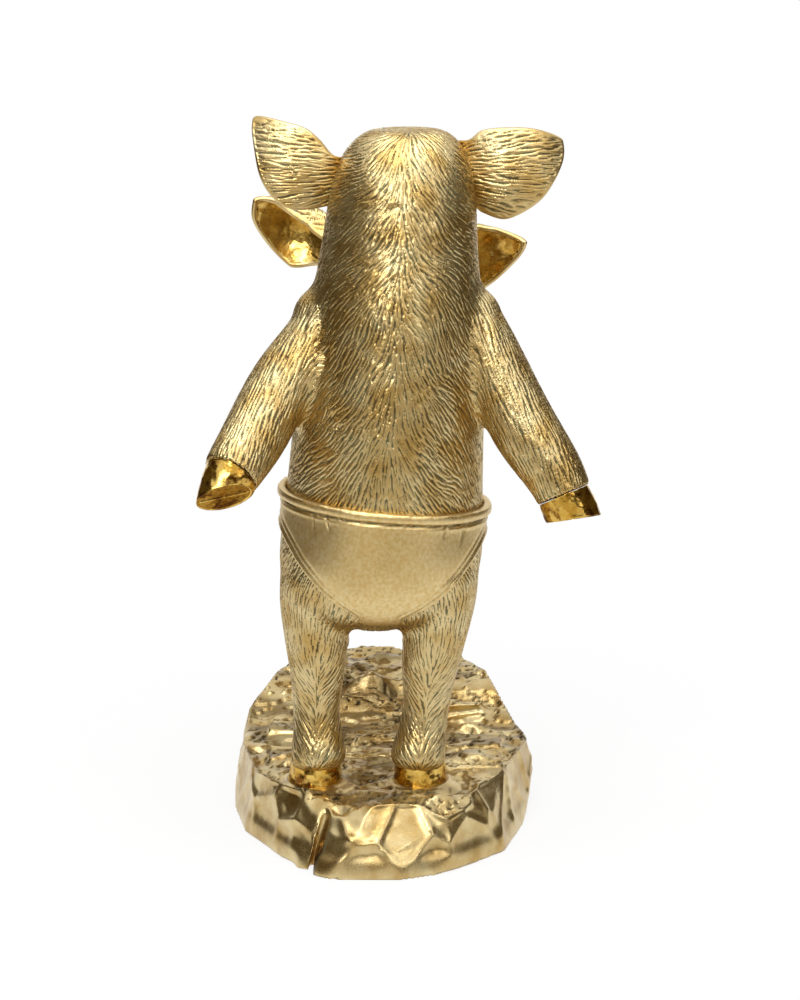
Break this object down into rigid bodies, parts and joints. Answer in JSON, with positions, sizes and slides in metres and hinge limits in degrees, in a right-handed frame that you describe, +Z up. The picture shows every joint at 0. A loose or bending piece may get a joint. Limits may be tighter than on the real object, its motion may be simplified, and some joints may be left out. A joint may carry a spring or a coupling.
{
  "type": "pig figurine",
  "caption": "Gold resin ornament of a tall pig in briefs standing snout to snout with a shorter pig on a rough rock base.",
  "frame": {"origin": "centre of the felt's underside, which rests on the table", "axes": "+Z up, +Y the way the tall pig faces, +X to the tall pig's right"},
  "size_m": [0.1707, 0.235, 0.3182],
  "materials": {
    "fur_gold": "cast polyresin with carved fur, gold paint wiped over a blue-green patina",
    "satin_gold": "smooth cast polyresin with satin gold paint",
    "polished_gold": "smooth cast polyresin with bright gold leaf",
    "rock_gold": "faceted cast polyresin with worn gold paint over a dark patina in its cracks",
    "steel": "drawn steel rod",
    "felt": "pressed felt, glued on"
  },
  "bodies": {
    "root": {"felt_sheet": "felt", "rock_base": "rock_gold", "short_pig_briefs": "satin_gold", "short_pig_left_arm": "fur_gold", "short_pig_left_ear": "fur_gold", "short_pig_left_ear_lining": "polished_gold", "short_pig_left_fore_hoof": "polished_gold", "short_pig_left_hind_hoof": "polished_gold", "short_pig_left_leg": "fur_gold", "short_pig_left_leg_rod": "steel", "short_pig_right_arm": "fur_gold", "short_pig_right_ear": "fur_gold", "short_pig_right_ear_lining": "polished_gold", "short_pig_right_fore_hoof": "polished_gold", "short_pig_right_hind_hoof": "polished_gold", "short_pig_right_leg": "fur_gold", "short_pig_right_leg_rod": "steel", "short_pig_snout_disc": "polished_gold", "short_pig_torso": "fur_gold", "tall_pig_briefs": "satin_gold", "tall_pig_left_arm": "fur_gold", "tall_pig_left_ear": "fur_gold", "tall_pig_left_ear_lining": "polished_gold", "tall_pig_left_fore_hoof": "polished_gold", "tall_pig_left_hind_hoof": "polished_gold", "tall_pig_left_leg": "fur_gold", "tall_pig_left_leg_rod": "steel", "tall_pig_right_arm": "fur_gold", "tall_pig_right_ear": "fur_gold", "tall_pig_right_ear_lining": "polished_gold", "tall_pig_right_fore_hoof": "polished_gold", "tall_pig_right_hind_hoof": "polished_gold", "tall_pig_right_leg": "fur_gold", "tall_pig_right_leg_rod": "steel", "tall_pig_snout_disc": "polished_gold", "tall_pig_torso": "fur_gold"}
  },
  "joints": []
}
